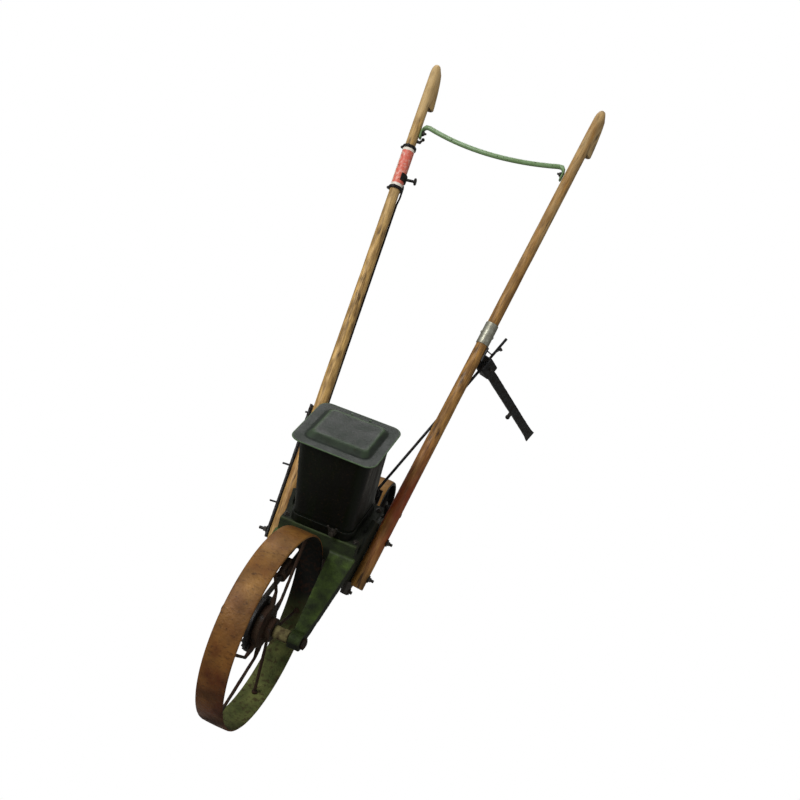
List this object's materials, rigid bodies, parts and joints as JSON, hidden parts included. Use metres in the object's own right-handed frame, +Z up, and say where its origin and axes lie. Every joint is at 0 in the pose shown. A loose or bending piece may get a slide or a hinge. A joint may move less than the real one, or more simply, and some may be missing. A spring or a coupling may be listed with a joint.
{
  "type": "single-row hand seed drill",
  "caption": "Hand-pushed seed drill: spoked front drive wheel, green hopper with hinged lid, wooden handles with cross brace, folding row marker, opener, coverers and press wheel.",
  "frame": {"origin": "on the ground under the middle of the machine's box", "axes": "+Z up, +Y rearwards from the front wheel to the handle grips, +X to the right of someone who stands in front of the machine and looks at its front"},
  "size_m": [0.4958, 1.2242, 1.0034],
  "materials": {
    "tread_steel": "rough rusted steel band, browned by wear",
    "rusty_iron": "rusted cast and forged iron",
    "black_iron": "blackened iron with worn edges",
    "green_paint": "worn mossy green paint on casting",
    "dark_green_paint": "dark green paint on sheet steel, dirty",
    "lid_paint": "grey-green paint on pressed sheet",
    "brace_paint": "sage green paint on a round rod",
    "varnished_wood": "varnished ash pole, worn and stained",
    "galvanised_sleeve": "dull galvanised sheet",
    "index_plate_paint": "faded red enamel plate, blank"
  },
  "bodies": {
    "frame": {"axle_spacer_left": "rusty_iron", "axle_spacer_right": "rusty_iron", "coverer_left": "black_iron", "coverer_right": "black_iron", "cross_brace": "brace_paint", "feed_base": "dark_green_paint", "feed_housing": "dark_green_paint", "ferrule": "galvanised_sleeve", "frame_casting": "green_paint", "front_axle": "black_iron", "handle_left": "varnished_wood", "handle_right": "varnished_wood", "hopper": "dark_green_paint", "index_collar_lower": "black_iron", "index_collar_upper": "black_iron", "index_plate": "index_plate_paint", "lid_hinge": "black_iron", "marker_bracket": "black_iron", "marker_rest": "black_iron", "opener_shoe": "rusty_iron", "press_axle": "black_iron", "press_spacer_left": "black_iron", "press_spacer_right": "black_iron", "rate_rod": "black_iron", "rate_slider": "black_iron", "rear_rail_left": "green_paint", "rear_rail_right": "green_paint", "seed_tube": "black_iron", "shaft_bearing": "rusty_iron", "side_bar": "black_iron"},
    "front_wheel": {"front_rim": "tread_steel", "front_hub": "rusty_iron", "drive_gear": "black_iron"},
    "drive_shaft": {"drive_shaft": "black_iron"},
    "lid": {"hopper_lid": "lid_paint"},
    "marker": {"marker_rod": "black_iron", "marker_head": "black_iron", "marker_leg": "black_iron"},
    "press_wheel": {"press_wheel": "tread_steel"}
  },
  "joints": [
    {"name": "front_wheel_spin", "type": "hinge", "parent": "frame", "child": "front_wheel", "pos_m": [-0.03765, -0.42208, 0.19], "axis": [1, 0, 0], "continuous": true},
    {"name": "drive_shaft_spin", "type": "hinge", "parent": "frame", "child": "drive_shaft", "pos_m": [-0.07145, -0.42208, 0.19], "axis": [0, 1, 0], "continuous": true},
    {"name": "press_wheel_spin", "type": "hinge", "parent": "frame", "child": "press_wheel", "pos_m": [-0.03765, 0.16292, 0.07], "axis": [1, 0, 0], "continuous": true},
    {"name": "lid_open", "type": "hinge", "parent": "frame", "child": "lid", "pos_m": [-0.03765, -0.07478, 0.4615], "axis": [-1, 0, 0], "range_deg": [0, 105]},
    {"name": "marker_swing", "type": "hinge", "parent": "frame", "child": "marker", "pos_m": [0.01347, -0.0561, 0.28178], "axis": [0, 0.7128, -0.7014], "range_deg": [0, 71]}
  ],
  "couplings": [
    {"joint": "drive_shaft_spin", "follows": "front_wheel_spin", "ratio": -3}
  ]
}
